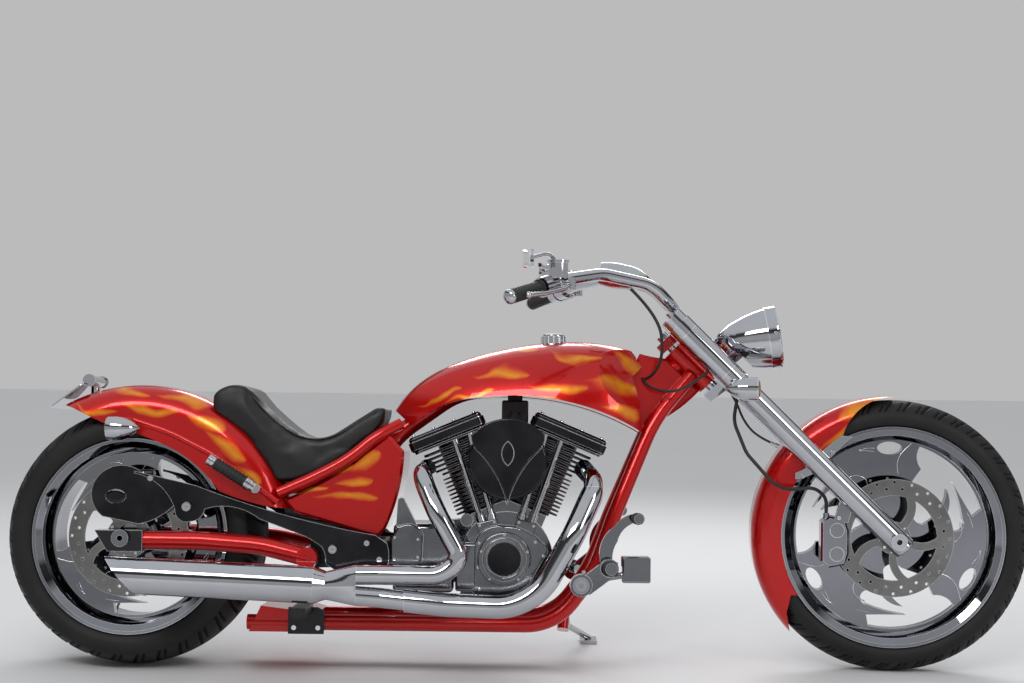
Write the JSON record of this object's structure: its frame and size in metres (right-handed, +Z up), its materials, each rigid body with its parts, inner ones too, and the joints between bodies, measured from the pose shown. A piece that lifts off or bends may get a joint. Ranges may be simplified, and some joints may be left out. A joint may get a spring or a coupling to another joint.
{
  "type": "cruiser motorcycle",
  "caption": "Long, low cruiser motorcycle with a V-twin engine, a wide rear tyre, a raked fork that steers, wheels that turn and a folding side stand.",
  "frame": {"origin": "on the floor, at the centre of the bounding box, leaning on its side stand", "axes": "+X to the front of the motorcycle, +Y to its left, +Z up"},
  "size_m": [2.61, 0.8828, 1.0607],
  "materials": {
    "red_paint": "candy red gloss",
    "flame_paint": "candy red gloss with yellow and orange flames",
    "chrome": "polished chrome",
    "polished_case": "polished",
    "dark_plate": "dark polished with bright edges",
    "black_fins": "black with bright machined fin edges",
    "black_metal": "satin black",
    "leather": "black smooth leather",
    "grip_rubber": "ribbed",
    "hose_rubber": "smooth",
    "belt_rubber": "toothed",
    "tyre_rubber": "matt",
    "rotor_steel": "brushed",
    "lens_glass": "clear"
  },
  "bodies": {
    "root": {"frame_neck": "red_paint", "frame_tubes": "red_paint", "seat_rails": "red_paint", "lower_fairing": "red_paint", "exhaust_bracket": "black_metal", "fuel_tank": "flame_paint", "fuel_cap": "chrome", "seat": "leather", "oil_tank": "flame_paint", "rear_fender": "flame_paint", "rear_lamps": "chrome", "swingarm": "red_paint", "swingarm_pivot": "black_metal", "strut_plates": "dark_plate", "rear_axle": "chrome", "rear_caliper": "dark_plate", "crankcase": "polished_case", "cam_cover": "polished_case", "cylinders": "black_fins", "rocker_boxes": "dark_plate", "pushrod_tubes": "chrome", "air_cleaner": "dark_plate", "top_mount": "black_metal", "transmission": "polished_case", "primary_cover": "polished_case", "drive_belt": "belt_rubber", "muffler": "chrome", "headers": "chrome", "foot_controls": "chrome", "passenger_pegs": "chrome"},
    "fork": {"fork_legs": "chrome", "fork_clamps": "chrome", "handlebar": "chrome", "grips": "grip_rubber", "hand_controls": "chrome", "front_lamps": "chrome", "headlight_lens": "lens_glass", "front_fender": "flame_paint", "front_axle": "chrome", "front_caliper": "chrome", "brake_hoses": "hose_rubber", "control_cables": "hose_rubber"},
    "front_wheel": {"front_rim": "chrome", "front_tyre": "tyre_rubber", "front_rotor": "rotor_steel"},
    "rear_wheel": {"rear_rim": "chrome", "rear_tyre": "tyre_rubber", "rear_rotor": "rotor_steel", "rear_pulley": "polished_case"},
    "side_stand": {"side_stand": "chrome"}
  },
  "joints": [
    {"name": "steering", "type": "hinge", "parent": "root", "child": "fork", "pos_m": [0.92305, -0.06338, 0.31213], "axis": [-0.7157, 0.0487, 0.6967], "range_deg": [-24, 36], "deforming": ["control_cables"]},
    {"name": "front_wheel_spin", "type": "hinge", "parent": "fork", "child": "front_wheel", "pos_m": [0.95778, -0.06611, 0.348], "axis": [0.073, 0.9973, 0.0053], "continuous": true},
    {"name": "rear_wheel_spin", "type": "hinge", "parent": "root", "child": "rear_wheel", "pos_m": [-0.97703, -0.06229, 0.32776], "axis": [0, 0.9976, -0.0698], "continuous": true},
    {"name": "side_stand_fold", "type": "hinge", "parent": "root", "child": "side_stand", "pos_m": [0.12297, 0.0572, 0.08684], "axis": [0.0925, 0.3195, 0.943], "range_deg": [0, 101.5]}
  ]
}
